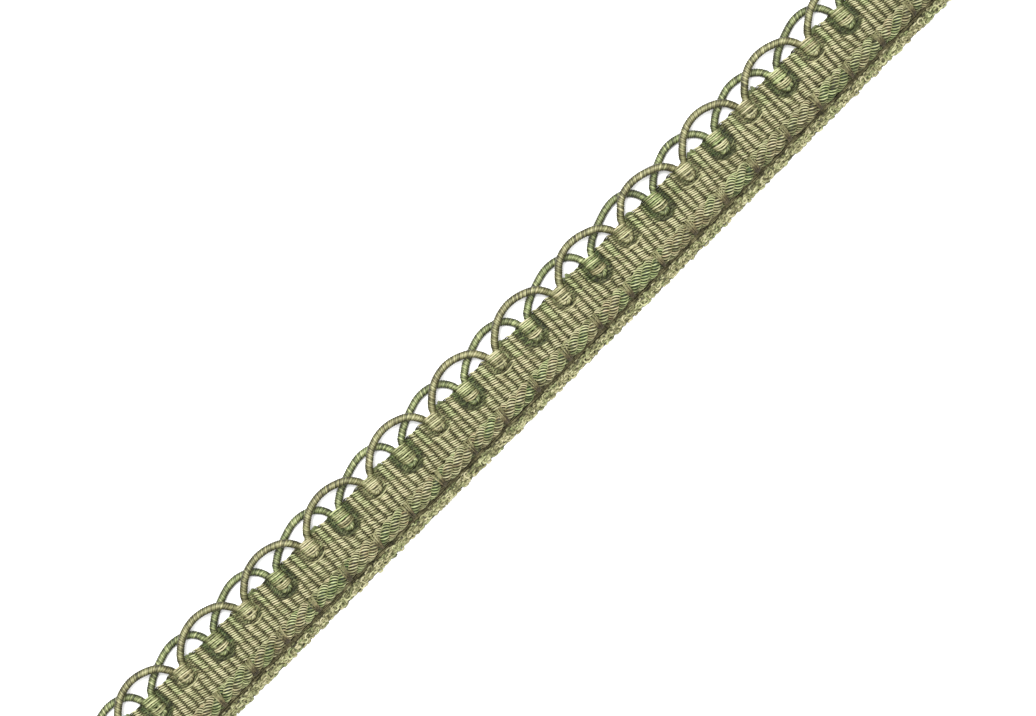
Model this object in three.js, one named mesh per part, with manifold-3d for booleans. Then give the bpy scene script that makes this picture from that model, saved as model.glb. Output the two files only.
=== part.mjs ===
// A cut length of loop-edged cord trim, lying flat with its face up.
// A ribbed woven band carries two gimp cords that stand out of its upper edge as overlapping loops. Each cord turns round
// in a recess of the band, under a binding of threads. A twisted cord lies along the lower part, held down by a couching
// thread, and a narrow selvedge tape runs below it, for sewing the trim on.
// Millimetres. +X runs along the trim, +Y across it towards the loops, +Z up out of its face. The origin is at the middle
// of its underside.

import * as THREE from "three";
import { mergeVertices } from "three/addons/utils/BufferGeometryUtils.js";
import Module from "manifold-3d";

const wasm = await Module();
wasm.setup();

// Driving sizes
const repeat = 21.2; // from one front loop to the next
const loopCount = 14; // front loops
const ribPitch = repeat / 10;
const ribCount = 145;
const halfLength = (ribCount * ribPitch) / 2;
const clearance = 0.3; // between any two pieces
const curveSegments = 3; // in a quarter of a round outline

const band = {
  top: 5.75,
  ribFoot: -4.05, // where the ribs end and the plain ground runs on under the cord
  foot: -9.75,
  ground: 0.6,
  valley: 1.75,
  crest: 2.3,
};
const gimp = { radius: 0.97, boundRadius: 0.85, legGap: 2.0, legSpread: 0.05, legEnd: 0.9, sides: 6, turnSteps: 4 };
const recess = { floor: 0.5, halfWidth: 3.2, turnMargin: 0.4 };
const binding = { top: 4.8, halfWidth: 2.7, arch: 1.95, wall: 0.35, foot: recess.floor + clearance };
const legHeight = recess.floor + clearance + gimp.boundRadius; // centre of a bound cord

// The two kinds of loop. first is the place of the first turn in repeats, turn the y of a turn's centre, bindingFoot the
// y where its binding ends, and archHeight the height of the loops' centre. Each row of shape is a point of a loop: its
// share of the way from one turn to the next, and how far it is above the band's edge.
const frontKind = {
  name: "front",
  first: -loopCount / 2,
  turn: 2.45,
  bindingFoot: 2.6,
  archHeight: 3.2,
  shape: [
    { along: 0.075, up: 0.4 },
    { along: 0.124, up: 1.65 },
    { along: 0.17, up: 2.5 },
    { along: 0.235, up: 3.6 },
    { along: 0.32, up: 4.6 },
    { along: 0.405, up: 5.15 },
    { along: 0.505, up: 5.4 },
    { along: 0.605, up: 5.2 },
    { along: 0.69, up: 4.7 },
    { along: 0.78, up: 3.9 },
    { along: 0.842, up: 2.95 },
    { along: 0.884, up: 1.9 },
    { along: 0.925, up: 0.4 },
  ],
};
const backKind = {
  name: "back",
  first: -(loopCount - 1) / 2,
  turn: 1.2,
  bindingFoot: 1.7,
  archHeight: 0.97,
  shape: [
    { along: 0.08, up: 0.5 },
    { along: 0.13, up: 1.35 },
    { along: 0.194, up: 2.25 },
    { along: 0.282, up: 3.15 },
    { along: 0.415, up: 4.2 },
    { along: 0.515, up: 4.8 },
    { along: 0.605, up: 5.0 },
    { along: 0.695, up: 4.8 },
    { along: 0.78, up: 4.2 },
    { along: 0.846, up: 3.35 },
    { along: 0.9, up: 2.0 },
    { along: 0.935, up: 0.4 },
  ],
};

// The turns from the left, and the loop that leaves each: shift moves the turn along the trim, lean moves the loop's top
// along it, and rise makes the loop taller.
const frontTurns = [
  { shift: 0, lean: 0.1, rise: 0.1 },
  { shift: -0.1, lean: 0, rise: 0.2 },
  { shift: -0.25, lean: 0.1, rise: 0.05 },
  { shift: -0.05, lean: 0.1, rise: -0.15 },
  { shift: -0.05, lean: -0.1, rise: -0.3 },
  { shift: 0.05, lean: 0.3, rise: 0.05 },
  { shift: 0.1, lean: 0.3, rise: 0.3 },
  { shift: 0.05, lean: 0.1, rise: 0.1 },
  { shift: 0.65, lean: -0.8, rise: -0.1 },
  { shift: 0.45, lean: -1.1, rise: -0.25 },
  { shift: 0.25, lean: 0, rise: 0.35 },
  { shift: 0, lean: -0.3, rise: 0.05 },
  { shift: 0.05, lean: 0.3, rise: -0.1 },
  { shift: 0.1, lean: 0, rise: 0.1 },
  { shift: 0, lean: 0, rise: 0 },
];
const backTurns = [
  { shift: 0.1, lean: 0, rise: 0.1 },
  { shift: -0.05, lean: 0.1, rise: 0 },
  { shift: 0, lean: -0.1, rise: 0.2 },
  { shift: 0, lean: 0, rise: -0.1 },
  { shift: -0.1, lean: 0.5, rise: -0.1 },
  { shift: 0.05, lean: 0, rise: 0 },
  { shift: 0.15, lean: -0.4, rise: 0.05 },
  { shift: 0.25, lean: 0.1, rise: 0.05 },
  { shift: 0.7, lean: 0.8, rise: 0.25 },
  { shift: 0.65, lean: -1, rise: 0.2 },
  { shift: 0.15, lean: -1, rise: -0.1 },
  { shift: 0.05, lean: 0.3, rise: 0.2 },
  { shift: 0.05, lean: 0, rise: 0 },
  { shift: 0, lean: 0, rise: 0 },
];

const kinds = [
  [frontKind, frontTurns],
  [backKind, backTurns],
];

const cord = {
  y: -6.85,
  radius: 2.28,
  grooveRadius: 1.68,
  lay: repeat / 2, // one full turn of its three strands
  stepsPerLay: 8,
  firstCrest: 2.4, // from a tie to the first strand that lies on top
  pinch: 0.28,
  pinchWidth: 1.9,
  halfLength: halfLength - 0.3,
};
const cordHeight = band.ground + clearance + cord.radius;

const couching = {
  tieShift: 2.0, // each tie lies this far past a turn of the gimp
  tieWidth: 1.7,
  inner: 2.07,
  outer: 2.47,
  runFoot: -9.65,
  runTop: -8.8,
  runThickness: 0.4,
  halfLength: halfLength - 0.5,
};

const selvedge = {
  top: -10.05,
  foot: -12.64,
  thickness: 1.3,
  segments: 64,
  edgeWave: 0.2, // how uneven its lower edge is
  faceWave: 0.12,
};

// Helpers

function solidOf(geometry) {
  const bare = geometry.index ? geometry.toNonIndexed() : geometry.clone();
  bare.deleteAttribute("normal");
  bare.deleteAttribute("uv");
  const merged = mergeVertices(bare, 1e-4);
  return new wasm.Manifold(
    new wasm.Mesh({
      numProp: 3,
      vertProperties: new Float32Array(merged.attributes.position.array),
      triVerts: new Uint32Array(merged.index.array),
    }),
  );
}

function geometryOf(solid) {
  const mesh = solid.getMesh();
  return new THREE.BufferGeometry()
    .setAttribute("position", new THREE.BufferAttribute(new Float32Array(mesh.vertProperties), 3))
    .setIndex(new THREE.BufferAttribute(new Uint32Array(mesh.triVerts), 1));
}

const X = new THREE.Vector3(1, 0, 0);
const Y = new THREE.Vector3(0, 1, 0);
const Z = new THREE.Vector3(0, 0, 1);

// A shape drawn in y and z, carried along X from one x to the other.
function carryAlongX(shape, from, to) {
  const made = new THREE.ExtrudeGeometry(shape, { depth: to - from, bevelEnabled: false, curveSegments });
  return made.applyMatrix4(new THREE.Matrix4().makeBasis(Y, Z, X)).translate(from, 0, 0);
}

// A shape drawn in x and z, carried across the trim between two values of y.
function carryAlongY(shape, from, to) {
  const made = new THREE.ExtrudeGeometry(shape, { depth: to - from, bevelEnabled: false, curveSegments });
  const down = Y.clone().negate();
  return made.applyMatrix4(new THREE.Matrix4().makeBasis(X, Z, down)).translate(0, to, 0);
}

function slab(x, y, z) {
  const size = [x[1] - x[0], y[1] - y[0], z[1] - z[0]];
  return new THREE.BoxGeometry(...size).translate((x[0] + x[1]) / 2, (y[0] + y[1]) / 2, (z[0] + z[1]) / 2);
}

// A closed tube: the rings of a cylinder are laid on the stations. Each station has a centre, a direction, and reach, the
// distance of each corner from the centre. turn is the angle of its first corner.
function tube(stations, sides) {
  const made = new THREE.CylinderGeometry(1, 1, 1, sides, stations.length - 1);
  const position = made.getAttribute("position");
  const corner = new THREE.Vector3();
  for (let i = 0; i < position.count; i += 1) {
    corner.fromBufferAttribute(position, i);
    const station = stations[Math.round((0.5 - corner.y) * (stations.length - 1))];
    const onWall = Math.hypot(corner.x, corner.z);
    const share = Math.atan2(corner.x, corner.z) / (2 * Math.PI);
    const index = (Math.round(share * sides) + sides) % sides;
    const angle = station.turn + (index / sides) * 2 * Math.PI;
    const side = new THREE.Vector3().crossVectors(Z, station.direction).normalize();
    const up = new THREE.Vector3().crossVectors(station.direction, side).normalize();
    const reach = onWall * station.reach[index % station.reach.length];
    corner
      .copy(station.centre)
      .addScaledVector(side, Math.sin(angle) * reach)
      .addScaledVector(up, Math.cos(angle) * reach);
    position.setXYZ(i, corner.x, corner.y, corner.z);
  }
  return made;
}

// Gimp cords

const turnX = (kind, turns, index) => (kind.first + index) * repeat + turns[index].shift;

// The arch from one turn to the next.
function archPoints(kind, turns, index) {
  const tallest = Math.max(...kind.shape.map((point) => point.up));
  const { lean, rise } = turns[index];
  return kind.shape.map(({ along, up }) => {
    const high = up / tallest;
    const settled = THREE.MathUtils.smoothstep(up, 0, 2.8);
    return new THREE.Vector3(
      THREE.MathUtils.lerp(turnX(kind, turns, index), turnX(kind, turns, index + 1), along) + lean * high * high,
      band.top + up + rise * high,
      THREE.MathUtils.lerp(legHeight, kind.archHeight, settled),
    );
  });
}

// Down the left leg, round the turn under the binding, and up the right leg.
function turnPoints(kind, x) {
  const legX = gimp.legGap / 2 + gimp.legSpread;
  const legTop = band.top - gimp.legEnd;
  const points = [new THREE.Vector3(x - legX, legTop, legHeight)];
  for (let step = 0; step <= gimp.turnSteps; step += 1) {
    const angle = Math.PI * (1 + step / gimp.turnSteps);
    const across = (Math.cos(angle) * gimp.legGap) / 2;
    const down = (Math.sin(angle) * gimp.legGap) / 2;
    points.push(new THREE.Vector3(x + across, kind.turn + down, legHeight));
  }
  points.push(new THREE.Vector3(x + legX, legTop, legHeight));
  return points;
}

// The whole cord, from the band's edge into the first turn to the band's edge out of the last.
function gimpPoints(kind, turns) {
  const last = turns.length - 1;
  const legX = gimp.legGap / 2 + gimp.legSpread;
  const points = [new THREE.Vector3(turnX(kind, turns, 0) - legX, band.top, legHeight)];
  turns.forEach((turn, index) => {
    points.push(...turnPoints(kind, turnX(kind, turns, index)));
    if (index < last) points.push(...archPoints(kind, turns, index));
  });
  points.push(new THREE.Vector3(turnX(kind, turns, last) + legX, band.top, legHeight));
  return points;
}

function gimpCord(kind, turns) {
  const points = gimpPoints(kind, turns);
  const stations = points.map((centre, index) => {
    const before = points[Math.max(index - 1, 0)];
    const after = points[Math.min(index + 1, points.length - 1)];
    const bound = centre.y < band.top + 0.1;
    return {
      centre,
      direction: after.clone().sub(before).normalize(),
      reach: [bound ? gimp.boundRadius : gimp.radius],
      turn: Math.PI / 2,
    };
  });
  return tube(stations, gimp.sides);
}

// The threads that run over both legs of a turn, as one arched bridge.
function bindingBridge(kind, x) {
  const bridge = new THREE.Shape();
  const innerWidth = binding.halfWidth - binding.wall;
  const innerArch = binding.arch - binding.wall;
  bridge.moveTo(binding.halfWidth, binding.foot);
  bridge.lineTo(binding.halfWidth, legHeight);
  bridge.absellipse(0, legHeight, binding.halfWidth, binding.arch, 0, Math.PI, false, 0);
  bridge.lineTo(-binding.halfWidth, binding.foot);
  bridge.lineTo(-innerWidth, binding.foot);
  bridge.lineTo(-innerWidth, legHeight);
  bridge.absellipse(0, legHeight, innerWidth, innerArch, Math.PI, 0, true, 0);
  bridge.lineTo(innerWidth, binding.foot);
  return carryAlongY(bridge, kind.bindingFoot, binding.top).translate(x, 0, 0);
}

// Band

// The recess round one turn: straight sides down to the binding's end, then a half ellipse round the turn.
function recessAt(kind, x) {
  const outline = new THREE.Shape();
  const mouth = band.top + 1;
  const turnFoot = kind.turn - gimp.legGap / 2 - gimp.boundRadius - recess.turnMargin;
  outline.moveTo(x + recess.halfWidth, mouth);
  outline.lineTo(x - recess.halfWidth, mouth);
  outline.lineTo(x - recess.halfWidth, kind.bindingFoot);
  const depth = kind.bindingFoot - turnFoot;
  outline.absellipse(x, kind.bindingFoot, recess.halfWidth, depth, Math.PI, 2 * Math.PI, false, 0);
  const deep = new THREE.ExtrudeGeometry(outline, { depth: band.crest, bevelEnabled: false, curveSegments });
  return deep.translate(0, 0, recess.floor);
}

// The face of the band across its ribs: a valley, then the two shoulders of each rib.
function ribProfile() {
  const profile = new THREE.Shape();
  profile.moveTo(halfLength, 0);
  for (let rib = ribCount - 1; rib >= 0; rib -= 1) {
    const middle = (rib - (ribCount - 1) / 2) * ribPitch;
    profile.lineTo(middle + ribPitch / 2, band.valley);
    profile.lineTo(middle + ribPitch / 4, band.crest);
    profile.lineTo(middle - ribPitch / 4, band.crest);
  }
  profile.lineTo(-halfLength, band.valley);
  profile.lineTo(-halfLength, 0);
  return profile;
}

function ribbedBand() {
  const ribs = solidOf(carryAlongY(ribProfile(), band.ribFoot, band.top));
  const overlap = 1;
  const ground = slab([-halfLength, halfLength], [band.foot, band.ribFoot + overlap], [0, band.ground]);
  let made = ribs.add(solidOf(ground));
  for (const [kind, turns] of kinds) {
    turns.forEach((turn, index) => {
      made = made.subtract(solidOf(recessAt(kind, turnX(kind, turns, index))));
    });
  }
  return geometryOf(made);
}

// Twisted cord and the thread that couches it

const tieXs = [];
for (let half = -loopCount; half <= loopCount; half += 1) tieXs.push((half * repeat) / 2 + couching.tieShift);

function pinchAt(x) {
  const distance = Math.min(...tieXs.map((tie) => Math.abs(x - tie)));
  return 1 - cord.pinch * Math.exp(-((distance / cord.pinchWidth) ** 2));
}

// Three strands: the corners of each ring are by turns the crest of a strand and the groove between two.
function twistedCord() {
  const step = cord.lay / cord.stepsPerLay;
  const xs = [-cord.halfLength];
  const first = Math.ceil((-cord.halfLength - couching.tieShift) / step + 0.3);
  for (let i = first; couching.tieShift + i * step < cord.halfLength - 0.3 * step; i += 1) {
    xs.push(couching.tieShift + i * step);
  }
  xs.push(cord.halfLength);
  const stations = xs.map((x) => ({
    centre: new THREE.Vector3(x, cord.y, cordHeight),
    direction: X,
    reach: [cord.radius * pinchAt(x), cord.grooveRadius * pinchAt(x)],
    turn: (2 * Math.PI * (x - couching.tieShift - cord.firstCrest)) / cord.lay,
  }));
  return tube(stations, 6);
}

// One thread: it runs below the cord and goes over it at each tie.
function couchingThread() {
  const foot = band.ground + clearance;
  const run = slab(
    [-couching.halfLength, couching.halfLength],
    [couching.runFoot, couching.runTop],
    [foot, foot + couching.runThickness],
  );
  let made = solidOf(run);
  const tie = new THREE.Shape();
  tie.moveTo(cord.y + couching.outer, foot);
  tie.lineTo(cord.y + couching.outer, cordHeight);
  tie.absarc(cord.y, cordHeight, couching.outer, 0, Math.PI, false);
  tie.lineTo(cord.y - couching.outer, foot);
  tie.lineTo(cord.y - couching.inner, foot);
  tie.lineTo(cord.y - couching.inner, cordHeight);
  tie.absarc(cord.y, cordHeight, couching.inner, Math.PI, 0, true);
  tie.lineTo(cord.y + couching.inner, foot);
  for (const x of tieXs) {
    made = made.add(solidOf(carryAlongX(tie, x - couching.tieWidth / 2, x + couching.tieWidth / 2)));
  }
  return geometryOf(made);
}

// Selvedge tape: a thin strip whose face and lower edge are a little uneven.
function selvedgeTape() {
  const width = selvedge.top - selvedge.foot;
  const made = new THREE.BoxGeometry(2 * halfLength, width, selvedge.thickness, selvedge.segments, 2, 1);
  made.translate(0, (selvedge.top + selvedge.foot) / 2, selvedge.thickness / 2);
  const position = made.getAttribute("position");
  for (let i = 0; i < position.count; i += 1) {
    const x = position.getX(i);
    const y = position.getY(i);
    const z = position.getZ(i);
    const wave = Math.sin(x * 1.19) + Math.sin(x * 0.46 + 1.3);
    if (y < selvedge.foot + 0.01) position.setY(i, y + selvedge.edgeWave * (2 + wave) * 0.5);
    if (z > selvedge.thickness - 0.01) position.setZ(i, z - selvedge.faceWave * (1 + Math.sin(x * 0.93 + y)));
  }
  return made;
}

// The finished trim

const finishes = {
  ground: { color: "#8a8560", roughness: 0.85 },
  khaki: { color: "#978f68", roughness: 0.75 },
  green: { color: "#7d9259", roughness: 0.75 },
  mixed: { color: "#938f62", roughness: 0.8 },
};

function piece(name, geometry, finish) {
  const material = new THREE.MeshStandardMaterial({ ...finish, metalness: 0, flatShading: true });
  const mesh = new THREE.Mesh(geometry, material);
  mesh.name = name;
  return mesh;
}

const trim = new THREE.Group();
trim.add(piece("ribbed_band", ribbedBand(), finishes.ground));
for (const [kind, turns] of kinds) {
  const finish = kind === frontKind ? finishes.khaki : finishes.green;
  trim.add(piece(`${kind.name}_gimp_loops`, gimpCord(kind, turns), finish));
  turns.forEach((turn, index) => {
    const number = String(index + 1).padStart(2, "0");
    trim.add(piece(`${kind.name}_binding_${number}`, bindingBridge(kind, turnX(kind, turns, index)), finish));
  });
}
trim.add(piece("twisted_cord", twistedCord(), finishes.mixed));
trim.add(piece("couching_thread", couchingThread(), finishes.khaki));
trim.add(piece("selvedge_tape", selvedgeTape(), finishes.mixed));

export default trim;
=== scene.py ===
# Cord trim: a ribbed band woven round two rows of gimp loops, with a couched twisted cord and a crocheted selvedge.
import math

import bpy
import numpy as np
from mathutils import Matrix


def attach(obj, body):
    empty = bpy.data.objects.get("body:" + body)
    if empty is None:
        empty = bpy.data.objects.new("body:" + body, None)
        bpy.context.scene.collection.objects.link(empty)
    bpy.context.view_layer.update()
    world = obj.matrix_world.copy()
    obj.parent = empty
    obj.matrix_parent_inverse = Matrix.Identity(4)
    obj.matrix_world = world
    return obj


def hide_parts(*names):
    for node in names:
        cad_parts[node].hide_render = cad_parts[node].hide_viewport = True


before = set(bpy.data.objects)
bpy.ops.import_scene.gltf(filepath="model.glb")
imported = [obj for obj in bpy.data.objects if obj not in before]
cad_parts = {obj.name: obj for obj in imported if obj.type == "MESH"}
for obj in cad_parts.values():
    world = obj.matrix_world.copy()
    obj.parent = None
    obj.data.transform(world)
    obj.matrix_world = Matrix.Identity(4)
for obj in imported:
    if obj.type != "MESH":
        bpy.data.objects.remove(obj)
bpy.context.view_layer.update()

millimetre = 0.001
upward = (0, 0, 1)
chance = np.random.default_rng(21)
print("frame loaded:", len(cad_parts), "nodes")

# Camera: straight above the trim, turned so that the trim runs from lower left to upper right.
viewpoint = {"centre": (3.79, 0.43), "height": 932.0, "turn": 45.05, "sensor": 36.0, "pictureWidth": 248.6}
cameraData = bpy.data.cameras.new("pictureCamera")
cameraData.sensor_width = viewpoint["sensor"]
cameraData.lens = viewpoint["sensor"] * viewpoint["height"] / viewpoint["pictureWidth"]
cameraData.clip_start = 0.01
camera = bpy.data.objects.new("pictureCamera", cameraData)
camera.location = [side * millimetre for side in (*viewpoint["centre"], viewpoint["height"])]
camera.rotation_euler = (0, 0, -math.radians(viewpoint["turn"]))
bpy.context.scene.collection.objects.link(camera)
bpy.context.scene.camera = camera
bpy.context.scene.view_settings.view_transform = "Standard"
print("camera placed")

# The trim's own sizes, in millimetres, as the CAD part has them. Ribs and warp ends lie on these.
trim = {
    "repeat": 21.2,
    "ribPitch": 2.12,
    "ribCount": 145,
    "halfLength": 153.4,
    "top": 5.75,
    "ribFoot": -4.05,
    "foot": -9.7,
    "legHeight": 1.65,
}


def smoothStep(value, low, high):
    # 0 below low, 1 above high, and 3t^2 - 2t^3 between them
    share = np.clip((value - low) / (high - low), 0, 1)
    return share * share * (3 - 2 * share)


def blended(before, after, share):
    # before * (1 - share) + after * share
    return before * (1 - share) + after * share


def unit(vectors):
    # v / |v| along the last axis
    return vectors / np.maximum(np.linalg.norm(vectors, axis=-1, keepdims=True), 1e-9)


def distances(path):
    # the length travelled along a path up to each of its points: the running sum of |p[i + 1] - p[i]|
    steps = np.linalg.norm(np.diff(path, axis=-2), axis=-1)
    return np.concatenate([np.zeros_like(steps[..., :1]), np.cumsum(steps, axis=-1)], axis=-1)


def drift(x, seed, reach=1.0):
    # a slow wander along the trim: reach * the sum of four sines whose lengths have no common measure / 2.4
    own = np.random.default_rng(seed)
    phases, lengths = own.uniform(0, 6.28, 4), own.uniform(7, 43, 4)
    return reach * sum(np.sin(x * 6.28 / length + phase) for phase, length in zip(phases, lengths)) / 2.4


def perStitch(stitch, sizes, spread):
    # one random value for each stitch, the same at all of its stations
    return np.take_along_axis(chance.normal(0, spread, sizes), stitch, axis=1)


# Threads. A thread is an ellipse carried along a path: point = path + across * wide * cos(a) + lift * high * sin(a).
# Both half widths swell by 1 + relief. The sides, where the light between neighbours is lost, are darker by
# crown * (1 - |sin(a)|). A width, dye or shade is one number, or an array of (threads, stations, sides) or its start.
def carried(paths, wide, high, sides, up, dye=0.0, shade=0.5, relief=0.0, crown=0.3):
    paths = np.asarray(paths, float)
    if paths.ndim == 2:
        paths = paths[None]
    count, stations = paths.shape[:2]
    full = (count, stations, sides)

    def everywhere(value):
        # the value at each thread, station and side
        value = np.asarray(value, float)
        while 0 < value.ndim < 3:
            value = value[..., None]
        return np.broadcast_to(value, full)

    along = unit(np.gradient(paths, axis=1))
    across = unit(np.cross(along, np.broadcast_to(up, paths.shape)))
    lift = np.cross(across, along)
    angle = np.arange(sides) / sides * 2 * math.pi
    swell = 1 + everywhere(relief)
    sideways = everywhere(wide) * swell * np.cos(angle)
    upwards = everywhere(high) * swell * np.sin(angle)
    points = paths[:, :, None] + across[:, :, None] * sideways[..., None] + lift[:, :, None] * upwards[..., None]

    index = np.arange(count * stations * sides).reshape(full)
    onward = np.roll(index, -1, axis=2)
    quads = np.stack([index[:, :-1], index[:, 1:], onward[:, 1:], onward[:, :-1]], axis=-1).reshape(-1, 4)
    travelled = distances(paths)
    turn = np.broadcast_to(np.arange(sides) / sides, (count, stations - 1, sides))
    before = np.broadcast_to(travelled[:, :-1, None], turn.shape)
    after = np.broadcast_to(travelled[:, 1:, None], turn.shape)
    corners = np.stack([
        np.stack([turn, before], -1), np.stack([turn, after], -1),
        np.stack([turn + 1 / sides, after], -1), np.stack([turn + 1 / sides, before], -1),
    ], axis=3).reshape(-1, 2)
    caps = np.concatenate([index[:, 0], index[:, -1, ::-1]])
    shaded = everywhere(shade) - crown * (1 - np.abs(np.sin(angle)))
    return {
        "points": points.reshape(-1, 3), "quads": quads, "corners": corners, "caps": caps,
        "capCorners": np.zeros((caps.size, 2)), "dye": everywhere(dye).reshape(-1), "shade": shaded.reshape(-1),
    }


# Cloth. A sheet is two height fields over one grid, height(x, y), joined by a wall round the rim.
def layered(xs, ys, top, bottom, dye, shade):
    wide, deep = xs.shape
    index = np.arange(wide * deep).reshape(wide, deep)
    upper = np.stack([xs, ys, top], -1).reshape(-1, 3)
    lower = np.stack([xs, ys, bottom], -1).reshape(-1, 3)
    face = np.stack([index[:-1, :-1], index[1:, :-1], index[1:, 1:], index[:-1, 1:]], -1).reshape(-1, 4)
    rim = np.concatenate([index[:-1, 0], index[-1, :-1], index[:0:-1, -1], index[0, :0:-1]])
    beside, below = np.roll(rim, -1), index.size
    wall = np.stack([rim, rim + below, beside + below, beside], -1)
    quads = np.concatenate([face, face[:, ::-1] + below, wall])
    points = np.concatenate([upper, lower])
    return {
        "points": points, "quads": quads, "corners": points[quads.reshape(-1), :2], "caps": np.zeros((0, 4), int),
        "capCorners": np.zeros((0, 2)), "dye": np.tile(dye.reshape(-1), 2), "shade": np.tile(shade.reshape(-1), 2),
    }


def makePiece(name, parts, material, nodes=()):
    # several thread or cloth parts in one mesh, with the thread's own UV map and its dye and shade
    points, faces, corners, first = [], [], [], 0
    for part in parts:
        faces += (part["quads"] + first).tolist() + (part["caps"] + first).tolist()
        corners += [part["corners"], part["capCorners"]]
        points.append(part["points"])
        first += len(part["points"])
    mesh = bpy.data.meshes.new(name)
    mesh.from_pydata((np.concatenate(points) * millimetre).tolist(), [], faces)
    uv = np.concatenate(corners).astype(np.float32).reshape(-1)
    mesh.uv_layers.new(name="thread").data.foreach_set("uv", uv)
    for title in ("dye", "shade"):
        values = np.concatenate([part[title] for part in parts]).astype(np.float32)
        mesh.attributes.new(title, "FLOAT", "POINT").data.foreach_set("value", values)
    mesh.shade_smooth()
    mesh.materials.append(material)
    piece = bpy.data.objects.new(name, mesh)
    bpy.context.scene.collection.objects.link(piece)
    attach(piece, "root")
    if nodes:
        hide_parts(*nodes)
    triangles = sum(len(face) - 2 for face in faces)
    print(f"piece {name}: {triangles} triangles")
    return piece


# Materials
def linear(code):
    # an sRGB hex code as the linear colour that the shader takes
    channels = [int(code[i:i + 2], 16) / 255 for i in (1, 3, 5)]
    return [c / 12.92 if c <= 0.04045 else ((c + 0.055) / 1.055) ** 2.4 for c in channels] + [1.0]


def addNode(tree, kind, inputs=None, stops=(), **settings):
    # one node with its settings; each input is linked to a socket or to a node's first output, or given a value
    node = tree.nodes.new("ShaderNode" + kind)
    for key, value in settings.items():
        setattr(node, key, value)
    for key, value in (inputs or {}).items():
        if isinstance(value, bpy.types.Node):
            value = value.outputs[0]
        if isinstance(value, bpy.types.NodeSocket):
            tree.links.new(value, node.inputs[key])
        else:
            node.inputs[key].default_value = value
    while stops and len(node.color_ramp.elements) < len(stops):
        node.color_ramp.elements.new(0.5)
    for i, (place, code) in enumerate(stops):
        node.color_ramp.elements[i].position = place
        node.color_ramp.elements[i].color = linear(code)
    return node


# What all the yarns share. The mottle, 900 to the metre, has patches of about 1 mm, and the fibre, 6000 to the metre,
# of about 0.17 mm: single fibres are finer, and are drawn as coarse as the picture can show.
yarn = {
    "khaki": [(0.0, "#262415"), (0.35, "#565338"), (0.65, "#7a7755"), (1.0, "#a49f7e")],
    "green": [(0.0, "#141f0f"), (0.35, "#3b4f29"), (0.65, "#657a46"), (1.0, "#98a570")],
    "warm": [(0.0, "#2c2317"), (0.35, "#64563c"), (0.65, "#8a7959"), (1.0, "#ad9b7b")],
    "mottleScale": 900.0, "mottleTone": 0.7, "mottleDye": 0.3, "fibreScale": 6000.0, "fibreHeight": 0.35,
    "plyRound": 0.6, "plyDepth": 0.05, "specular": 0.2, "sheenRoughness": 0.4, "sheenTint": "#8f8a62",
}


def yarnMaterial(name, plyPitch, plyTurns, plyShadeAndGlint, roughness, sheen):
    # Twisted yarn: the ply lines run slantwise along each thread and break its highlight into short glints,
    # partly by the bump and partly as painted shade and highlight in the tone. The shade attribute, which holds
    # painted shade as well as each thread's own tone, picks the tone, the dye attribute goes from warm (below 0)
    # over khaki (0) to green (1).
    material = bpy.data.materials.new(name)
    material.use_nodes = True
    tree = material.node_tree
    tree.nodes.clear()
    thread = addNode(tree, "UVMap", uv_map="thread")
    split = addNode(tree, "SeparateXYZ", {"Vector": thread})
    turned = addNode(tree, "Math", {0: split.outputs["X"], 1: float(plyTurns)}, operation="MULTIPLY")
    phase = addNode(tree, "Math", {0: split.outputs["Y"], 1: 1 / plyPitch, 2: turned}, operation="MULTIPLY_ADD")
    saw = addNode(tree, "Math", {0: phase, 1: 1.0}, operation="PINGPONG")
    ply = addNode(tree, "Math", {0: saw, 1: yarn["plyRound"]}, operation="POWER")
    place = addNode(tree, "TexCoord").outputs["Object"]
    mottle = addNode(tree, "TexNoise", {"Vector": place, "Scale": yarn["mottleScale"], "Detail": 3.0})
    fibre = addNode(tree, "TexNoise", {"Vector": place, "Scale": yarn["fibreScale"], "Detail": 2.0})
    dye = addNode(tree, "Attribute", attribute_name="dye").outputs["Fac"]
    shade = addNode(tree, "Attribute", attribute_name="shade").outputs["Fac"]
    mottled = addNode(tree, "Math", {0: mottle, 1: yarn["mottleTone"], 2: shade}, operation="MULTIPLY_ADD")
    # painted shade and highlight: the ply pattern is added to the tone, darker in each groove, lighter on each ply
    plied = addNode(tree, "Math", {0: ply, 1: plyShadeAndGlint, 2: mottled}, operation="MULTIPLY_ADD")
    meanTone = 0.39 + plyShadeAndGlint / 2  # of the mottle and the ply together: without it, shade sets the mean tone
    tone = addNode(tree, "Math", {0: plied, 1: meanTone}, operation="SUBTRACT")
    dyed = addNode(tree, "Math", {0: mottle, 1: yarn["mottleDye"], 2: dye}, operation="MULTIPLY_ADD")
    greenShare = addNode(tree, "Math", {0: dyed, 1: yarn["mottleDye"] / 2}, operation="SUBTRACT", use_clamp=True)
    warmShare = addNode(tree, "Math", {0: dye, 1: -2.0}, operation="MULTIPLY", use_clamp=True)
    khaki = addNode(tree, "ValToRGB", {"Fac": tone}, yarn["khaki"])
    green = addNode(tree, "ValToRGB", {"Fac": tone}, yarn["green"])
    warm = addNode(tree, "ValToRGB", {"Fac": tone}, yarn["warm"])
    plain = addNode(tree, "Mix", {"Factor": greenShare, 6: khaki, 7: green}, data_type="RGBA")
    colour = addNode(tree, "Mix", {"Factor": warmShare, 6: plain.outputs[2], 7: warm}, data_type="RGBA")
    height = addNode(tree, "Math", {0: fibre, 1: yarn["fibreHeight"], 2: ply}, operation="MULTIPLY_ADD")
    bump = addNode(tree, "Bump", {"Height": height, "Distance": yarn["plyDepth"] * millimetre, "Strength": 1.0})
    shader = addNode(tree, "BsdfPrincipled", {
        "Base Color": colour.outputs[2], "Roughness": roughness, "Specular IOR Level": yarn["specular"],
        "Sheen Weight": sheen, "Sheen Roughness": yarn["sheenRoughness"], "Sheen Tint": linear(yarn["sheenTint"]),
        "Normal": bump,
    })
    addNode(tree, "OutputMaterial", {"Surface": shader})
    return material


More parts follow.
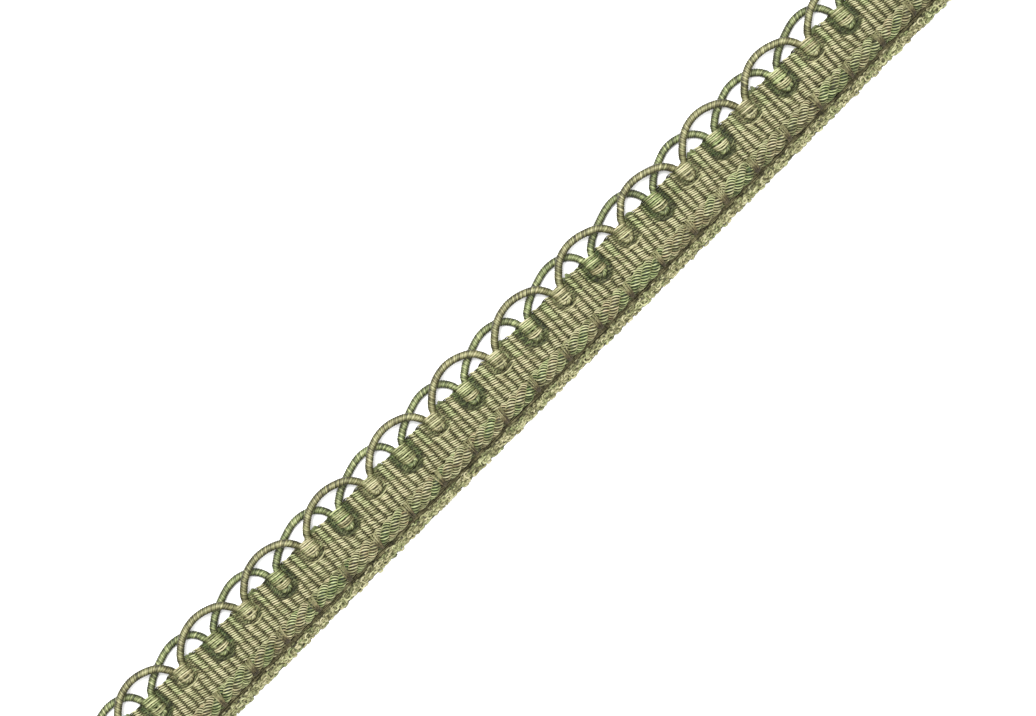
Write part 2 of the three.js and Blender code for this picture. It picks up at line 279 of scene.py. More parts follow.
# filament viscose laid tight round a core: smooth, with a soft gloss that each turn of the wrap breaks
gimpWrap = yarnMaterial("viscose wrapped close round a cotton core", 0.5, -3, 0.34, 0.45, 0.25)
# two plies twisted together: a row of small slanting glints along each stitch
warpYarn = yarnMaterial("two ply viscose warp", 0.5, 2, 0.22, 0.5, 0.25)
# the same, finer and wound in a spiral: close slanting lines over each strand
cordYarn = yarnMaterial("fine yarn wound round cord strands", 0.6, 4, 0.22, 0.5, 0.25)
# spun and loosely twisted: duller, its loose fibres a faint pale sheen at the edges
sewingYarn = yarnMaterial("loosely twisted sewing yarn", 0.45, 2, 0.22, 0.6, 0.35)
# spun cotton without gloss: almost lost in the shade between the warp ends
groundYarn = yarnMaterial("dull cotton weft under the warp", 0.5, 2, 0.22, 0.8, 0.1)
print("materials made")

# Gimp loops. A point of a shape is (share of the way to the next turn, height over the band's edge). A turn is (its
# shift along the band, the lean of the loop after it, that loop's rise).
frontLoops = {
    "first": -7.0, "turn": 2.45, "height": 3.2, "recessFoot": 0.15, "recessReach": 3.0, "floats": 7,
    "dye": 0.06, "boundShade": 0.82,
    "shape": [(0.075, 0.4), (0.124, 1.65), (0.17, 2.5), (0.235, 3.6), (0.32, 4.6), (0.405, 5.15), (0.505, 5.4),
              (0.605, 5.2), (0.69, 4.7), (0.78, 3.9), (0.842, 2.95), (0.884, 1.9), (0.925, 0.4)],
    "turns": [(0, 0.1, 0.1), (-0.1, 0, 0.2), (-0.25, 0.1, 0.05), (-0.05, 0.1, -0.15), (-0.05, -0.1, -0.3),
              (0.05, 0.3, 0.05), (0.1, 0.3, 0.3), (0.05, 0.1, 0.1), (0.65, -0.8, -0.1), (0.45, -1.1, -0.25),
              (0.25, 0, 0.35), (0, -0.3, 0.05), (0.05, 0.3, -0.1), (0.1, 0, 0.1), (0, 0, 0)],
}
backLoops = {
    "first": -6.5, "turn": 1.05, "height": 0.97, "recessFoot": -1.65, "recessReach": 3.25, "floats": 9,
    "dye": 0.44, "boundShade": 0.66,
    "shape": [(0.08, 0.5), (0.13, 1.35), (0.194, 2.25), (0.282, 3.15), (0.415, 4.2), (0.515, 4.8), (0.605, 5.0),
              (0.695, 4.8), (0.78, 4.2), (0.846, 3.35), (0.9, 2.0), (0.935, 0.4)],
    "turns": [(0.1, 0, 0.1), (-0.05, 0.1, 0), (0, -0.1, 0.2), (0, 0, -0.1), (-0.1, 0.5, -0.1), (0.05, 0, 0),
              (0.15, -0.4, 0.05), (0.25, 0.1, 0.05), (0.7, 0.8, 0.25), (0.65, -1, 0.2), (0.15, -1, -0.1),
              (0.05, 0.3, 0.2), (0.05, 0, 0), (0, 0, 0)],
}
gimp = {
    "radius": 0.99, "boundRadius": 0.74, "legGap": 1.76, "legSpread": 0.02, "legTop": 0.9, "climb": 2.8,
    "wrapPitch": 0.55, "starts": 4, "ridge": 0.13, "ridgeRound": 0.7, "ringsPerWrap": 6, "sides": 12,
    "archShade": 0.77, "grooveShade": 0.5, "sideShade": 0.38, "archSideShade": 0.42, "sideRound": 1.5,
    "toneSpread": 0.1, "dyeSpread": 0.05,
}


def turnPlaces(kind):
    # x = (first + i) * repeat + the turn's own shift
    return np.array([(kind["first"] + i) * trim["repeat"] + turn[0] for i, turn in enumerate(kind["turns"])])


def loopPath(kind):
    # legs and turns below the edge, arches above it, then a Catmull-Rom curve through them all at even steps
    places, tallest = turnPlaces(kind), max(up for _, up in kind["shape"])
    bend, low = gimp["legGap"] / 2, trim["legHeight"]
    legX, legTop = bend + gimp["legSpread"], trim["top"] - gimp["legTop"]
    knots = [(places[0] - legX, trim["top"], low)]
    for i, x in enumerate(places):
        knots.append((x - legX, legTop, low))
        for angle in np.linspace(math.pi, 2 * math.pi, 5):
            knots.append((x + math.cos(angle) * bend, kind["turn"] + math.sin(angle) * bend, low))
        knots.append((x + legX, legTop, low))
        if i + 1 < len(places):
            _, lean, rise = kind["turns"][i]
            for share, up in kind["shape"]:
                high = up / tallest
                climbed = float(smoothStep(up, 0, gimp["climb"]))
                knots.append((x + (places[i + 1] - x) * share + lean * high * high, trim["top"] + up + rise * high,
                              low + (kind["height"] - low) * climbed))
    knots.append((places[-1] + legX, trim["top"], low))
    knots = np.array(knots)
    padded = np.concatenate([2 * knots[:1] - knots[1:2], knots, 2 * knots[-1:] - knots[-2:-1]])
    p0, p1, p2, p3 = (padded[i:len(padded) - 3 + i, None] for i in range(4))
    t = np.linspace(0, 1, 12, endpoint=False)[None, :, None]
    squared, cubed = 2 * p0 - 5 * p1 + 4 * p2 - p3, 3 * p1 - p0 - 3 * p2 + p3
    curve = 0.5 * (2 * p1 + (p2 - p0) * t + squared * t ** 2 + cubed * t ** 3)
    curve = np.concatenate([curve.reshape(-1, 3), knots[-1:]])
    travelled = distances(curve)
    even = np.arange(0, travelled[-1], gimp["wrapPitch"] / gimp["ringsPerWrap"])
    return np.stack([np.interp(even, travelled, curve[:, axis]) for axis in range(3)], -1), even


def wrappedLoops(kind):
    # radius * (1 + ridge * (|sin(pi * wraps)|^ridgeRound - 1)), where the wraps count up along the cord and starts
    # times round it; the cord is thinner where it is bound
    path, travelled = loopPath(kind)
    above = smoothStep(path[:, 1], trim["top"] - 0.3, trim["top"] + 0.8)
    radius = (gimp["boundRadius"] + (gimp["radius"] - gimp["boundRadius"]) * above)[None]
    above = above[:, None]
    angle = np.arange(gimp["sides"]) / gimp["sides"]
    wraps = travelled[:, None] / gimp["wrapPitch"] - gimp["starts"] * angle[None]
    crest = np.abs(np.sin(math.pi * wraps))
    relief = gimp["ridge"] * (crest ** gimp["ridgeRound"] - 1)
    wrap = np.floor(wraps).astype(int)
    wrap = wrap - wrap.min()
    tone = chance.normal(0, gimp["toneSpread"], wrap.max() + 1)[wrap]
    dye = kind["dye"] + chance.normal(0, gimp["dyeSpread"], wrap.max() + 1)[wrap]
    # painted shade: each wrap darker in its groove, and the cord darker on both sides, more on the arches
    side = np.abs(np.cos(2 * math.pi * angle)) ** gimp["sideRound"]
    shade = kind["boundShade"] + (gimp["archShade"] - kind["boundShade"]) * above + tone
    shade = shade - gimp["grooveShade"] * (1 - crest) - (gimp["sideShade"] + gimp["archSideShade"] * above) * side
    return carried(path, radius, radius, gimp["sides"], upward, dye[None], shade[None], relief[None], 0.0)


makePiece("khaki_gimp_loops", [wrappedLoops(frontLoops)], gimpWrap, ["front_gimp_loops"])
makePiece("green_gimp_loops", [wrappedLoops(backLoops)], gimpWrap, ["back_gimp_loops"])

# Floats: the warp threads that cross both legs of a turn and hold it down. The first six are dyed like the cord. The
# low ones, below them, lie closer, droop and are pale.
floats = {
    "dyed": 6, "first": 0.22, "pitch": 0.5, "lowFirst": 2.95, "lowPitch": 0.4, "droop": 0.16, "halfWidth": 1.92,
    "rise": 2.0, "foot": 0.7, "slant": -0.13, "waver": 0.04, "wide": 0.21, "high": 0.2, "stations": 15, "uneven": 0.03,
    "dyeShare": 0.9, "lowDye": 0.04, "dyeSpread": 0.14, "leastDye": -0.06,
    "shade": 0.88, "greenShade": 0.12, "toneSpread": 0.17, "footShade": 0.35,
}


def floatsOver(kind):
    # height = foot + rise * sqrt(1 - |x / halfWidth|^3), a bridge with square shoulders over the two legs
    places, order = turnPlaces(kind), np.arange(kind["floats"])
    shape = (len(places), kind["floats"])
    lower = order - (floats["dyed"] - 1)
    dyedDepth, lowDepth = floats["first"] + floats["pitch"] * order, floats["lowFirst"] + floats["lowPitch"] * lower
    depth = (np.where(lower < 1, dyedDepth, lowDepth) + chance.normal(0, 0.05, shape))[..., None]
    across = np.linspace(-1, 1, floats["stations"])
    across = np.sign(across) * np.abs(across) ** 0.75
    x = across * (floats["halfWidth"] * (1 + chance.normal(0, floats["uneven"], shape))[..., None])
    droop = np.maximum(floats["droop"] * lower, 0)[None, :, None] * (1 - across ** 2)
    y = trim["top"] - depth + floats["slant"] * x - droop + floats["waver"] * np.sin(x * 2 + depth * 9)
    rise = floats["rise"] * (1 + chance.normal(0, floats["uneven"], shape))[..., None]
    z = floats["foot"] + rise * np.sqrt(np.maximum(1 - np.abs(across) ** 3, 0))
    paths = np.stack([places[:, None, None] + x, y, z], -1).reshape(-1, floats["stations"], 3)
    dye = np.where(lower < 1, kind["dye"] * floats["dyeShare"], floats["lowDye"])
    dye = np.maximum(dye + chance.normal(0, floats["dyeSpread"], shape), floats["leastDye"]).reshape(-1, 1)
    tone = floats["shade"] - floats["greenShade"] * kind["dye"] + chance.normal(0, floats["toneSpread"], shape)
    # painted shade: each float darker towards its ends, where it dips down to the band
    shade = tone.reshape(-1, 1) - floats["footShade"] * np.abs(across) ** 3
    return carried(paths, floats["wide"], floats["high"], 6, (0, 1e-3, 1), dye, shade)


# a dark thread that paints the shadow in the slit where the legs of a khaki turn close
slitShadow = {
    "halfWidth": 0.75, "depth": 3.12, "height": 2.36, "bow": 0.12, "wide": 0.17, "high": 0.12, "dye": 0.06,
    "shade": 0.2,
}


def paintedSlitShadow():
    # a painted shadow: a short low dark thread where the legs of a khaki turn close, y = top - depth + slant * across
    across = np.linspace(-1, 1, 7)
    x = turnPlaces(frontLoops)[:, None] + slitShadow["halfWidth"] * across
    y = trim["top"] - slitShadow["depth"] + floats["slant"] * across + chance.normal(0, 0.05, (len(x), 1))
    z = np.broadcast_to(slitShadow["height"] - slitShadow["bow"] * across ** 4, x.shape)
    return carried(np.stack([x, y, z], -1), slitShadow["wide"], slitShadow["high"], 6, upward, slitShadow["dye"], slitShadow["shade"])


slack = {
    "reach": 2.9, "low": 0.08, "lift": 0.95, "height": 2.25, "dip": 1.5, "wide": 0.2, "high": 0.19, "dye": 0.06,
    "shade": 0.83, "endShade": 0.3,
}


def slackEnds():
    # one slack end hangs round the foot of each khaki turn: y = low + lift * across^2, z = height - dip * across^4
    places, across = turnPlaces(frontLoops)[:, None], np.linspace(-1, 1, 17)
    x = places + across * (slack["reach"] + chance.normal(0, 0.3, places.shape))
    y = slack["low"] + chance.normal(0, 0.2, places.shape) + slack["lift"] * across ** 2
    z = np.broadcast_to(slack["height"] - slack["dip"] * across ** 4, x.shape)
    # painted shade: each slack end darker towards both tips, where it dips down
    shade = slack["shade"] - slack["endShade"] * across[None] ** 2
    return carried(np.stack([x, y, z], -1), slack["wide"], slack["high"], 6, upward, slack["dye"], shade)


khakiFloats = [floatsOver(frontLoops), paintedSlitShadow(), slackEnds()]
frontBindings = [f"front_binding_{i + 1:02d}" for i in range(len(frontLoops["turns"]))]
backBindings = [f"back_binding_{i + 1:02d}" for i in range(len(backLoops["turns"]))]
makePiece("khaki_floats", khakiFloats, warpYarn, frontBindings)
makePiece("green_floats", [floatsOver(backLoops)], warpYarn, backBindings)

# The band: warp ends that go over one rib and under the next, and the weft ribs that they cover. The third row of
# values says how the ribs part and sag round a turn, the fourth how the hollow under a turn is bounded, and the last
# two how the ends are shaded, with painted shade, and dyed.
weave = {
    "ends": 37, "endPitch": 0.288, "firstEnd": 5.6, "stationsPerRib": 4, "wide": 0.235, "high": 0.2, "narrow": 0.55,
    "over": 2.1, "under": 0.34, "recessed": 0.72, "steepness": 1.6, "slant": 0.3,
    "push": 0.275, "pushWidth": 2.6, "pushFade": 1.6, "sag": 0.4, "sagWidth": 2.2, "sagDepth": 0.7,
    "hollowMiddle": 0.15, "hollowNarrow": 0.07, "hollowRim": 0.12,
    "shade": 0.98, "underShade": 0.56, "recessShade": 0.4, "greenRecessShade": 0.24, "rimShade": 1.0, "crown": 0.36,
    "dye": 0.05, "greenDye": 0.35, "dyedDepth": 4.8, "recessDye": 0.3, "leastDye": -0.06,
}


def knobLow(kind):
    # the lowest y of a turn: its middle less the bend and the cord
    return kind["turn"] - gimp["legGap"] / 2 - gimp["boundRadius"]


def nearestTurn(x, kind):
    # signed distance to the nearest turn of one row
    places = turnPlaces(kind)
    nearest = np.abs(x[..., None] - places).argmin(axis=-1)
    return x - places[nearest]


def pushed(x, y):
    # the ribs part round each turn: aside by push * reach * u * exp(-u^2), less below its foot, and down under it
    aside, down = np.zeros_like(x), np.zeros_like(x)
    for kind in (frontLoops, backLoops):
        away, low = nearestTurn(x, kind), knobLow(kind)
        level = np.exp(-np.maximum(low - y, 0) / weave["pushFade"])
        u = away / weave["pushWidth"]
        aside = aside + weave["push"] * kind["recessReach"] * u * np.exp(-u ** 2) * level
        near = np.exp(-(away / weave["sagWidth"]) ** 2)
        down = down - weave["sag"] * near * np.exp(-((y - low + 0.1) / weave["sagDepth"]) ** 2)
    # and they lean and crowd a little, as ribs beaten up by hand do
    lean = drift(x * 3, 11, 0.12) + drift(x * 2, 12, 0.03) * y
    return x + aside + lean, y + down


def inRecess(x, y, kinds=(frontLoops, backLoops)):
    # 1 in the hollow where a turn lies, 0 outside it, with a soft rim where (x / halfWidth)^2 + depth^2 is 1; it
    # narrows a little towards the band's edge
    inside = np.zeros_like(x)
    for kind in kinds:
        middle = kind["turn"] + weave["hollowMiddle"]
        depth = np.maximum(middle - y, 0) / (middle - kind["recessFoot"])
        halfWidth = kind["recessReach"] * (1 - weave["hollowNarrow"] * smoothStep(y, middle, trim["top"]))
        reach = np.sqrt((np.abs(nearestTurn(x, kind)) / halfWidth) ** 2 + depth ** 2)
        inside = np.maximum(inside, 1 - smoothStep(reach, 1 - weave["hollowRim"], 1 + weave["hollowRim"]))
    return inside


def alongBand(stationsPerRib):
    # stations along the band, a whole number to each rib, as far as its cut ends
    half = trim["ribCount"] * stationsPerRib // 2
    x = np.arange(-half, half + 1) * (trim["ribPitch"] / stationsPerRib)
    return x[np.abs(x) <= trim["halfLength"]]


def warpEnds(khaki):
    # height follows tanh(steepness * cos(pi x / ribPitch)), over for one shed where it is under for the other; each end
    # is widest on its rib and slants across it
    x = alongBand(weave["stationsPerRib"])
    y0 = weave["firstEnd"] - weave["endPitch"] * np.arange(0 if khaki else 1, weave["ends"], 2)
    x, y = np.broadcast_to(x, (len(y0), len(x))), np.broadcast_to(y0[:, None], (len(y0), len(x)))
    side = -1.0 if khaki else 1.0
    wave = math.pi * x / trim["ribPitch"]
    level = np.tanh(weave["steepness"] * (side * np.cos(wave))) / math.tanh(weave["steepness"])
    rib = np.round(x / trim["ribPitch"]).astype(int)
    rib = rib - rib.min()
    stitches = (len(y0), rib.max() + 1)
    loose = perStitch(rib, stitches, 0.08)
    xs, ys = pushed(x + loose, y - weave["slant"] * side * np.sin(wave) + chance.normal(0, 0.03, x.shape))
    middle, swing = (weave["over"] + weave["under"]) / 2, (weave["over"] - weave["under"]) / 2
    hidden, greenHidden = inRecess(xs, ys), inRecess(xs, ys, (backLoops,))
    z = blended(middle + swing * level + chance.normal(0, 0.02, x.shape), weave["recessed"], hidden)
    # painted shade: an end is darker where it dives under a rib, in the hollow under a turn (more under a green turn)
    # and most on that hollow's rim; the random tone of each stitch is its own
    shade = weave["shade"] + perStitch(rib, stitches, 0.12)
    shade = shade + weave["underShade"] * (level - 1) * (1 - hidden) - weave["recessShade"] * hidden
    shade = shade - weave["greenRecessShade"] * greenHidden - weave["rimShade"] * hidden * (1 - hidden)
    dyedFoot = trim["top"] - weave["dyedDepth"]
    fade = smoothStep(y0, dyedFoot - 0.3, dyedFoot + 0.3)[:, None]
    dye = (weave["dye"] if khaki else weave["dye"] + weave["greenDye"] * fade) + perStitch(rib, stitches, 0.1)
    dye = np.maximum(dye, weave["leastDye"]) + weave["recessDye"] * greenHidden
    swollen = weave["narrow"] + (1 - weave["narrow"]) * np.abs(np.cos(wave))
    wide, high = weave["wide"] * swollen, weave["high"] * swollen
    return carried(np.stack([xs, ys, z], -1), wide, high, 5, upward, dye, shade, 0.0, weave["crown"])


makePiece("khaki_warp_ends", [warpEnds(True)], warpYarn)
makePiece("green_warp_ends", [warpEnds(False)], warpYarn)

ribs = {
    "rows": 15, "webRows": 4, "crest": 1.8, "valley": 1.25, "underCrest": 0.42, "underValley": 0.95, "edgeRound": 0.5,
    "floor": 0.55, "floorUnder": 0.38, "web": 0.55, "webUnder": 0.1,
    "shade": 0.05, "crestShade": 0.1, "recessShade": 0.05, "dye": 0.15, "recessDye": 0.3,
}


def ribbedCloth():
    # top = valley + (crest - valley) * |cos(pi x / ribPitch)|, pressed down to the floor under each turn and to a thin
    # web below the ribs, and rounded off at the band's edge
    webRows = np.linspace(trim["foot"], trim["ribFoot"] - 1.2, ribs["webRows"])
    ribRows = np.linspace(trim["ribFoot"] - 0.9, trim["top"] - 0.12, ribs["rows"])
    x, y = np.meshgrid(alongBand(4), np.concatenate([webRows, ribRows]), indexing="ij")
    xs, ys = pushed(x, y)
    ys = np.minimum(ys, trim["top"] - 0.1)
    bow = np.abs(np.cos(math.pi * x / trim["ribPitch"]))
    rounded = np.sqrt(np.clip(np.minimum(1, (trim["top"] + 0.1 - y) / ribs["edgeRound"]), 0.1, 1))
    top = ribs["valley"] + (ribs["crest"] - ribs["valley"]) * bow * rounded
    bottom = ribs["underValley"] + (ribs["underCrest"] - ribs["underValley"]) * bow
    hidden = inRecess(xs, ys)
    below = 1 - smoothStep(y, trim["ribFoot"] - 1.15, trim["ribFoot"] - 0.85)
    top = blended(blended(top, ribs["floor"], hidden), ribs["web"], below)
    bottom = blended(blended(bottom, ribs["floorUnder"], hidden), ribs["webUnder"], below)
    # painted shade: the sheet is near black, for the shadow between the warp ends over it, a little lighter on the rib
    # crests and darker in the hollow under a turn
    shade = ribs["shade"] + ribs["crestShade"] * bow - ribs["recessShade"] * hidden
    dye = ribs["dye"] + ribs["recessDye"] * inRecess(xs, ys, (backLoops,))
    return layered(xs, ys, top, bottom, dye, shade)


ground = makePiece("ribbed_ground", [ribbedCloth()], groundYarn, ["ribbed_band"])
print("band woven")

# The twisted cord: three strands, each wound with yarn, pinched where a tie crosses it.
cord = {
    "y": -6.85, "z": 3.18, "lay": 10.6, "firstCrest": 4.4, "tieShift": 2.0, "pinch": 0.17, "pinchWidth": 1.15,
    "strands": 3, "strandOut": 1.14, "woundRadius": 1.02, "coreRadius": 0.93, "coreStep": 0.9, "halfLength": 153.1,
    "windPitch": 0.56, "starts": 4, "stationsPerTurn": 12, "yarnWide": 0.175, "yarnHigh": 0.17, "uneven": 0.02,
    "shade": 1.12, "pinchShade": 0.42, "lowShade": 0.17, "toneSpread": 0.17, "crown": 0.7, "coreShade": 0.06,
    "dye": 0.14, "dyeDrift": 0.5, "dyeSpread": 0.14, "coreDye": 0.3, "coreDyeDrift": 0.9,
}


def pinchAt(x):
    # 1 away from the ties, less by pinch * exp(-(distance / width)^2) at one
    away = (x - cord["tieShift"] + cord["lay"] / 2) % cord["lay"] - cord["lay"] / 2
    return 1 - cord["pinch"] * np.exp(-(away / cord["pinchWidth"]) ** 2)


def strandPath(number, step):
    # centre = (x, y + out * sin(turn), z + out * cos(turn)), and the way out from the cord's middle at each station
    slope = 2 * math.pi * cord["strandOut"] / cord["lay"]
    x = np.arange(-cord["halfLength"], cord["halfLength"], step / math.sqrt(1 + slope * slope))
    turn = 2 * math.pi * (x - cord["firstCrest"]) / cord["lay"] + number * 2 * math.pi / cord["strands"]
    tight = pinchAt(x)
    out = cord["strandOut"] * tight
    path = np.stack([x, cord["y"] + out * np.sin(turn), cord["z"] + out * np.cos(turn)], -1)
    return path, tight, np.stack([0 * x, np.sin(turn), np.cos(turn)], -1)


def woundStrand(number):
    # each yarn = strand's centre + radius * (out * cos(wind) + side * sin(wind)), four yarns a quarter of a wind apart,
    # over a plain core that closes the gaps between them, coloured near black as painted shade between the yarns
    lead = cord["starts"] * cord["windPitch"]
    path, tight, outward = strandPath(number, lead / cord["stationsPerTurn"])
    along = unit(np.gradient(path, axis=0))
    side = unit(np.cross(along, outward))
    out = np.cross(side, along)
    travelled = distances(path)
    start = np.arange(cord["starts"])[:, None]
    turns = travelled / lead + start / cord["starts"]
    wind = (2 * math.pi * turns)[..., None]
    radial = out * np.cos(wind) + side * np.sin(wind)
    loose = 1 + cord["uneven"] * np.sin(travelled * 1.7 + start * 2)[..., None]
    yarns = path + cord["woundRadius"] * tight[:, None] * loose * radial
    count = np.floor(turns).astype(int)
    stitches = (cord["starts"], count.max() + 1)
    tone = perStitch(count, stitches, cord["toneSpread"])
    hue = perStitch(count, stitches, cord["dyeSpread"])
    dye = np.clip(cord["dye"] + drift(path[:, 0], 50 + number, cord["dyeDrift"]), -0.02, 0.45) + hue
    # painted shade: the yarns darker where a tie pinches the cord and on the side of each strand away from the ribs
    shade = cord["shade"] + tone - cord["pinchShade"] * (1 - tight) / cord["pinch"]
    shade = shade - cord["lowShade"] * (1 - outward[:, 1])
    core, coreTight, coreOut = strandPath(number, cord["coreStep"])
    radius = (cord["coreRadius"] * coreTight)[None]
    coreDye = np.clip(cord["coreDye"] + drift(core[:, 0], 50 + number, cord["coreDyeDrift"]), 0, 0.8)
    return [
        carried(yarns, cord["yarnWide"], cord["yarnHigh"], 5, radial, dye, shade, 0.0, cord["crown"]),
        carried(core, radius, radius, 9, coreOut[None], coreDye[None], cord["coreShade"], 0.0, 0.0),
    ]


for number in range(cord["strands"]):
    replaced = ["twisted_cord"] if number == 0 else []
    makePiece(f"wound_strand_{number + 1}", woundStrand(number), cordYarn, replaced)

# Ties: a fan of threads over the cord at each pinch, with painted shade, dark and warm, on the side away from the ribs.
ties = {
    "count": 29, "threads": 6, "spread": 0.27, "fan": 0.35, "lean": 0.12, "radius": 2.06, "reach": 2.2, "foot": 0.75,
    "wide": 0.14, "high": 0.14, "stations": 18, "shade": 0.15, "topShade": 0.55, "dye": 0.05, "shadeWarmth": 0.4,
}


def tieThreads():
    # each thread is an arc over the cord: x = tie + order * spread * (1 + fan * turn) + lean * turn,
    # y = cord's y + radius * sin(turn), z = cord's z + radius * cos(turn)
    places = (np.arange(ties["count"]) - ties["count"] // 2) * cord["lay"] + cord["tieShift"]
    order = np.arange(ties["threads"]) - (ties["threads"] - 1) / 2
    turn = np.linspace(-ties["reach"], ties["reach"], ties["stations"])
    each, shape = (len(places), ties["threads"]), (len(places), ties["threads"], ties["stations"])
    radius = ties["radius"] * (1 + chance.normal(0, 0.02, each))[..., None] * np.ones(shape)
    loose = chance.normal(0, 0.1, each)[..., None] + chance.normal(0, 0.08, each)[..., None] * turn
    fanned = order[None, :, None] * ties["spread"] * (1 + ties["fan"] * turn)
    x = places[:, None, None] + fanned + ties["lean"] * turn + loose
    y = cord["y"] + radius * np.sin(turn)
    z = np.maximum(cord["z"] + radius * np.cos(turn), ties["foot"])
    # painted shade: dark on the side of the cord away from the ribs, lighter over the top, tinted warm where dark
    shade = ties["shade"] + ties["topShade"] * smoothStep(turn, -0.9, 0.4) + np.zeros(shape)
    shade = shade + chance.normal(0, 0.08, each)[..., None]
    dye = ties["dye"] - ties["shadeWarmth"] * (1 - smoothStep(turn, -0.9, 0.6)) + np.zeros(shape)
    paths = np.stack([x, y, z], -1)
    paths, dye, shade = (values.reshape(-1, *values.shape[2:]) for values in (paths, dye, shade))
    return carried(paths, ties["wide"], ties["high"], 6, (1, 0, 0), dye, shade)


# The running threads lie in the hollow between the cord and the selvedge. A row is (y, height, how far it wanders).
running = {
    "rows": [(-8.95, 0.85, 0.12), (-9.3, 0.75, 0.12), (-9.6, 0.75, 0.1)], "step": 0.7, "wide": 0.18, "high": 0.15,
    "dye": -0.1, "shade": 0.42,
}


def runningThreads():
    # y = row's y + a slow wander, z = row's height + a smaller one
    x = np.arange(-cord["halfLength"], cord["halfLength"], running["step"])
    y = np.stack([middle + drift(x, 81 + i, wander) for i, (middle, _, wander) in enumerate(running["rows"])])
    z = np.stack([height + drift(x, 84 + i, 0.08) for i, (_, height, _) in enumerate(running["rows"])])
    paths = np.stack([np.broadcast_to(x, y.shape), y, z], -1)
    # painted shade: darker than the other yarns, for the shade of the hollow they lie in
    shade = running["shade"] + drift(x * 4, 87, 0.2)[None]
    return carried(paths, running["wide"], running["high"], 6, upward, running["dye"], shade)


makePiece("couching_ties", [tieThreads(), runningThreads()], sewingYarn, ["couching_thread"])
print("cord laid")

# The selvedge: crocheted rows on a flat tape. A row is (middle y, height, reach, curl, lift, shift, seed, stretch).
selvedge = {
    "rows": [
        (-10.3, 0.75, 0.3, 0.3, 0.15, 0.0, 200, 0.97),
        (-10.85, 0.9, 0.32, 0.35, 0.2, 1.7, 210, 1.11),
        (-11.4, 0.9, 0.32, 0.35, 0.2, 4.1, 230, 1.03),
        (-11.95, 0.8, 0.3, 0.3, 0.15, 2.6, 240, 1.07),
        (-11.2, 1.15, 0.75, 0.3, 0.2, 3.1, 220, 1.63),
    ],
    "pitch": 1.5, "stations": 10, "halfLength": 152.6, "wide": 0.21, "high": 0.18, "foot": -12.28, "head": -9.75,
    "lowest": 0.3, "highest": 1.5, "shade": 0.66, "crestShade": 0.12, "dye": 0.1, "crown": 0.2,
    "tapeHalfLength": 153.0, "tapeStep": 0.7, "tapeY": -10.84, "tapeZ": 0.45, "tapeWide": 1.28, "tapeHigh": 0.42,
    "tapeDye": 0.1, "tapeShade": 0.25,
}


def crochetRow(middle, height, reach, curl, lift, shift, seed, stretch):
    # x = pitch * t + curl * sin(4 pi t), y = middle + reach * cos(2 pi t), z = height + lift * cos(4 pi t): a row of
    # open loops, each a little larger, later or lower than the last, held in by a lower edge that wanders
    pitch = selvedge["pitch"] * stretch
    t = np.arange(-selvedge["halfLength"] / pitch, selvedge["halfLength"] / pitch, 1 / selvedge["stations"])
    loose = 1 + drift(t * pitch * 4, seed, 0.5)
    crest = np.cos(4 * math.pi * t + shift + 0.8)
    x = pitch * t + curl * loose * np.sin(4 * math.pi * t + shift) + drift(t * pitch * 3, seed + 1, 0.5)
    y = middle + reach * loose * np.cos(2 * math.pi * t + shift / 2) + drift(t * pitch * 5, seed + 2, 0.3)
    y = np.clip(y, selvedge["foot"] + drift(x * 6, seed + 6, 0.2), selvedge["head"])
    z = np.clip(height + lift * crest + drift(t * pitch * 4, seed + 3, 0.12), selvedge["lowest"], selvedge["highest"])
    # painted light and shade: each loop lighter where it rises and darker where it sinks; the slow wander is its own
    # tone
    shade = selvedge["shade"] + drift(t * pitch * 6, seed + 4, 0.3) + selvedge["crestShade"] * crest
    dye = np.clip(selvedge["dye"] + drift(t * pitch * 2, seed + 5, 0.24), 0, 0.5)
    wide, high = selvedge["wide"], selvedge["high"]
    return carried(np.stack([x, y, z], -1), wide, high, 6, upward, dye[None], shade[None], 0.0, selvedge["crown"])


def selvedgeTape():
    # a flat ellipse under the crochet: its middle and its half width wander a little; it is coloured dark, a painted
    # shade under the loops
    x = np.arange(-selvedge["tapeHalfLength"], selvedge["tapeHalfLength"], selvedge["tapeStep"])
    path = np.stack([x, selvedge["tapeY"] + drift(x, 120, 0.05), np.full_like(x, selvedge["tapeZ"])], -1)
    wide = (selvedge["tapeWide"] + drift(x, 121, 0.05))[None]
    return carried(path, wide, selvedge["tapeHigh"], 8, upward, selvedge["tapeDye"], selvedge["tapeShade"])


crochet = [crochetRow(*row) for row in selvedge["rows"]] + [selvedgeTape()]
makePiece("crocheted_selvedge", crochet, sewingYarn, ["selvedge_tape"])
print("selvedge crocheted")

# Picots: the little bumps of thread that stand over the edge beside each khaki turn.
picots = {
    "places": [3.0, 3.45, 3.95, 4.4], "tall": 0.95, "halfWidth": 0.42, "sunk": 0.45, "height": 1.2, "bow": 0.3,
    "thick": 0.24, "stations": 9, "dye": 0.45, "shade": 0.46,
}


def picotBumps():
    # half ellipses in the plane of the band: x = start - halfWidth * cos(turn), y = top - sunk + tall * sin(turn)
    starts = turnPlaces(frontLoops)[:, None] + np.array(picots["places"])
    starts = starts + chance.normal(0, 0.1, starts.shape)
    tall = picots["tall"] + chance.normal(0, 0.2, starts.shape)
    turn = np.linspace(0, math.pi, picots["stations"])
    x = starts[..., None] - picots["halfWidth"] * np.cos(turn)
    y = trim["top"] - picots["sunk"] + tall[..., None] * np.sin(turn)
    z = np.broadcast_to(picots["height"] + picots["bow"] * np.sin(turn), x.shape)
    paths = np.stack([x, y, z], -1).reshape(-1, picots["stations"], 3)
    return carried(paths, picots["thick"], picots["thick"], 6, upward, picots["dye"], picots["shade"])


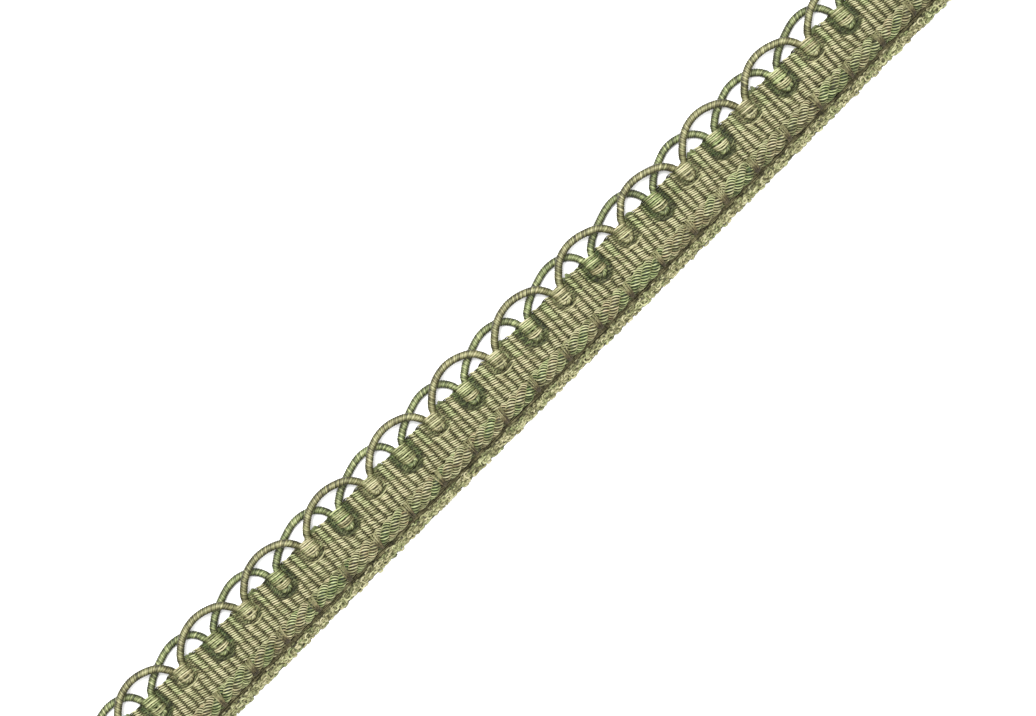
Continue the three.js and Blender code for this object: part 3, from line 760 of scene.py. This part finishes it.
makePiece("edge_picots", [picotBumps()], warpYarn)

# Floor and light: a pale table under one large soft light and a bright room. Sizes and places are in metres.
studio = {
    "floor": "#f8f8f7", "floorHalf": 1.5, "grainScale": 900.0, "grainDepth": 0.00002,
    "room": "#ffffff", "roomStrength": 1.5, "keyPlace": (0.05, 0.34, 1.0), "keySize": 0.5, "keyStrength": 16.5,
}


def paleFloor():
    # matt paper, one square, with a grain too fine to see but enough to keep it from looking plastic
    mesh = bpy.data.meshes.new("paper_floor")
    half = studio["floorHalf"]
    mesh.from_pydata([(-half, -half, 0), (half, -half, 0), (half, half, 0), (-half, half, 0)], [], [(0, 1, 2, 3)])
    floor = bpy.data.objects.new("paper_floor", mesh)
    bpy.context.scene.collection.objects.link(floor)
    material = bpy.data.materials.new("matt white paper")
    material.use_nodes = True
    tree = material.node_tree
    tree.nodes.clear()
    place = addNode(tree, "TexCoord").outputs["Object"]
    grain = addNode(tree, "TexNoise", {"Vector": place, "Scale": studio["grainScale"]})
    bump = addNode(tree, "Bump", {"Height": grain, "Distance": studio["grainDepth"], "Strength": 0.2})
    shader = addNode(tree, "BsdfPrincipled", {
        "Base Color": linear(studio["floor"]), "Roughness": 0.9, "Specular IOR Level": 0.1, "Normal": bump})
    addNode(tree, "OutputMaterial", {"Surface": shader})
    mesh.materials.append(material)


def softLight(name, place, size, strength):
    # a square area light that looks at the middle of the trim
    light = bpy.data.lights.new(name, "AREA")
    light.size = size
    light.energy = strength
    lamp = bpy.data.objects.new(name, light)
    lamp.location = place
    x, y, z = place
    lamp.rotation_euler = (math.acos(z / math.hypot(x, y, z)), 0, math.atan2(y, x) + math.pi / 2)
    bpy.context.scene.collection.objects.link(lamp)


paleFloor()
softLight("keyLight", studio["keyPlace"], studio["keySize"], studio["keyStrength"])
world = bpy.data.worlds.new("brightRoom")
bpy.context.scene.world = world
world.use_nodes = True
background = world.node_tree.nodes["Background"]
background.inputs["Color"].default_value = linear(studio["room"])
background.inputs["Strength"].default_value = studio["roomStrength"]
print("lights set")
